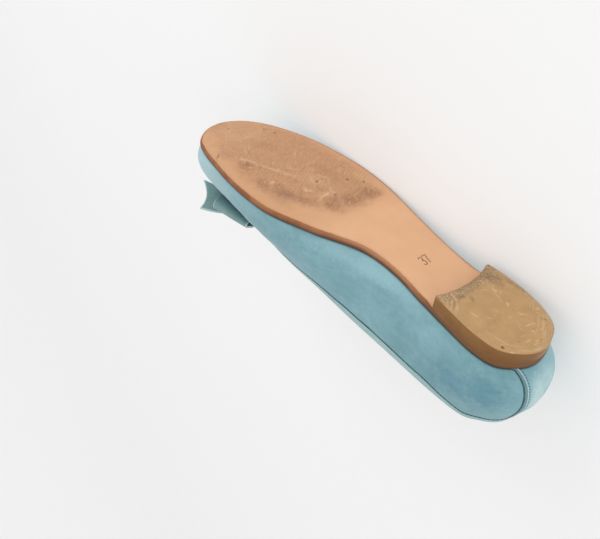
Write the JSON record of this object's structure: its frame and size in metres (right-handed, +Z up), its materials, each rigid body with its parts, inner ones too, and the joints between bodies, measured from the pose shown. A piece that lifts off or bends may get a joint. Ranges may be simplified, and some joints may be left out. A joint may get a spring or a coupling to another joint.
{
  "type": "ballet flat",
  "caption": "Low-cut round-toed slip-on flat in turquoise suede with a ribbon bow on the vamp, a tan leather sole and a low brown heel, lying on its outer side.",
  "frame": {"origin": "centre of the footprint, on the floor that the shoe's outer side lies on", "axes": "+X from heel to toe along the floor, +Y from the sole towards the collar's opening, +Z up, from the shoe's outer side to its inner side"},
  "size_m": [0.2508, 0.0534, 0.0732],
  "materials": {
    "suede": "napped, matt turquoise suede, mottled",
    "bow_suede": "the same suede cut as ribbon, with pale cut edges",
    "sole_leather": "smooth tan sole leather, scuffed under the ball, burnished brown edge",
    "heel_stack": "burnished brown sides, worn khaki walking face",
    "sock_leather": "smooth pale lining leather"
  },
  "bodies": {
    "root": {"upper": "suede", "outsole": "sole_leather", "heel": "heel_stack", "insole": "sock_leather", "bow_knot": "bow_suede", "bow_loop_lateral": "bow_suede", "bow_loop_medial": "bow_suede", "bow_tail_lateral": "bow_suede", "bow_tail_medial": "bow_suede"}
  },
  "joints": []
}
